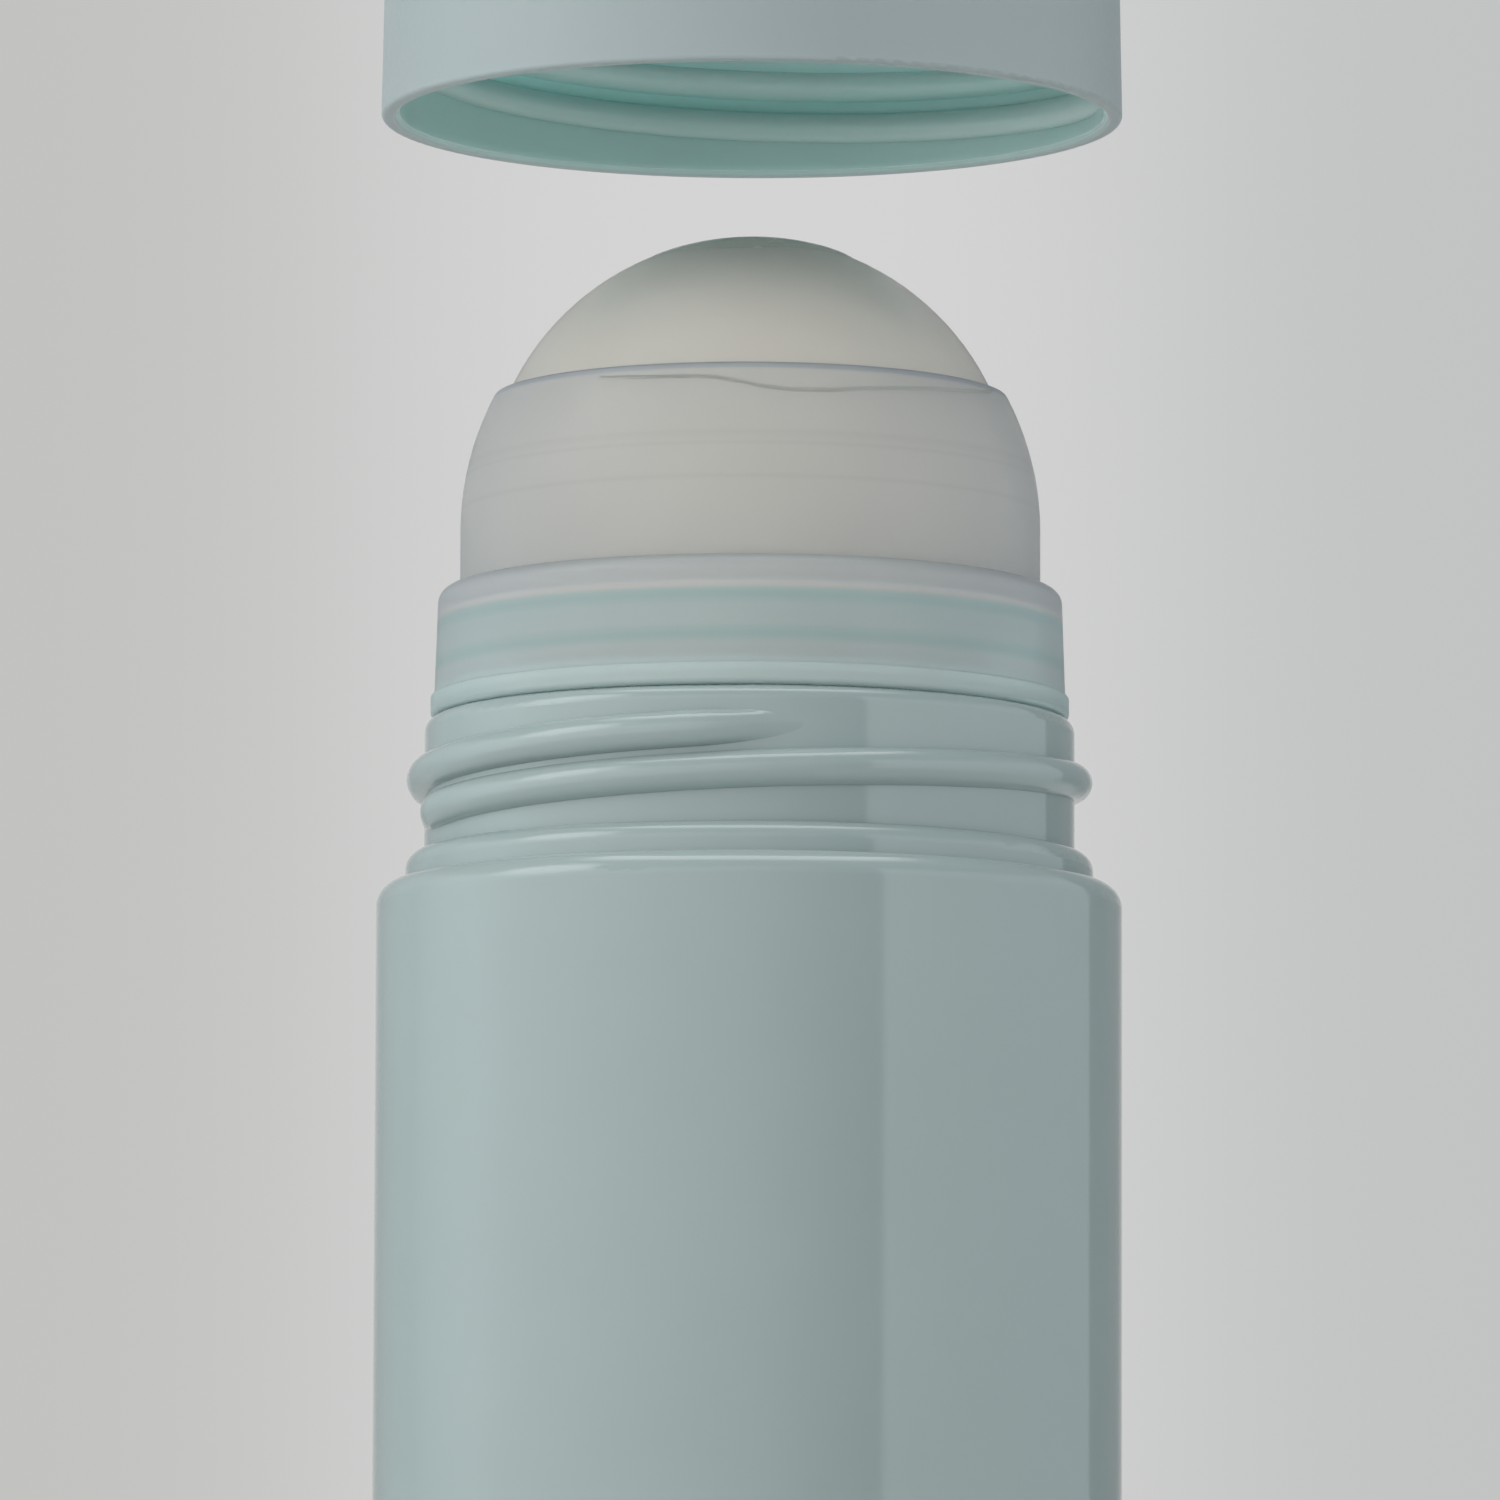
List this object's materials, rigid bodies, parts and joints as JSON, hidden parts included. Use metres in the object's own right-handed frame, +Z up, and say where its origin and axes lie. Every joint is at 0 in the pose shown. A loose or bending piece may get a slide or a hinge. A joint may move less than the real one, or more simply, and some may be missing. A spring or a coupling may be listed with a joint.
{
  "type": "roll on bottle",
  "caption": "Round roll-on bottle: a ball rolls in a translucent housing pressed into the threaded neck, and a plain screw cap turns, lifts off and seals it.",
  "frame": {"origin": "centre of the foot ring, on the table", "axes": "+Z up along the bottle's axis, +X to the right seen from the front, the front facing -Y"},
  "size_m": [0.04, 0.04, 0.1373],
  "materials": {
    "bottle": "gloss",
    "housing": "gloss",
    "ball": "gloss",
    "pad": "matte",
    "cap": "satin"
  },
  "bodies": {
    "bottle": {"bottle": "bottle", "ball_housing": "housing"},
    "ball": {"roller_ball": "ball"},
    "cap_pad": {"seal_pad": "pad"},
    "cap": {"cap": "cap"}
  },
  "joints": [
    {"name": "cap_lift", "type": "slide", "parent": "bottle", "child": "cap_pad", "axis": [0, 0, 1], "range_m": [-0.0412, 0]},
    {"name": "cap_turn", "type": "hinge", "parent": "cap_pad", "child": "cap", "pos_m": [0, 0, 0.118], "axis": [0, 0, 1], "range_deg": [-3252.63, 0]},
    {"name": "ball_roll", "type": "hinge", "parent": "bottle", "child": "ball", "pos_m": [0, 0, 0.07865], "axis": [1, 0, 0], "continuous": true}
  ],
  "couplings": [
    {"joint": "cap_lift", "follows": "cap_turn", "m_per_rad": 0.00072575}
  ]
}
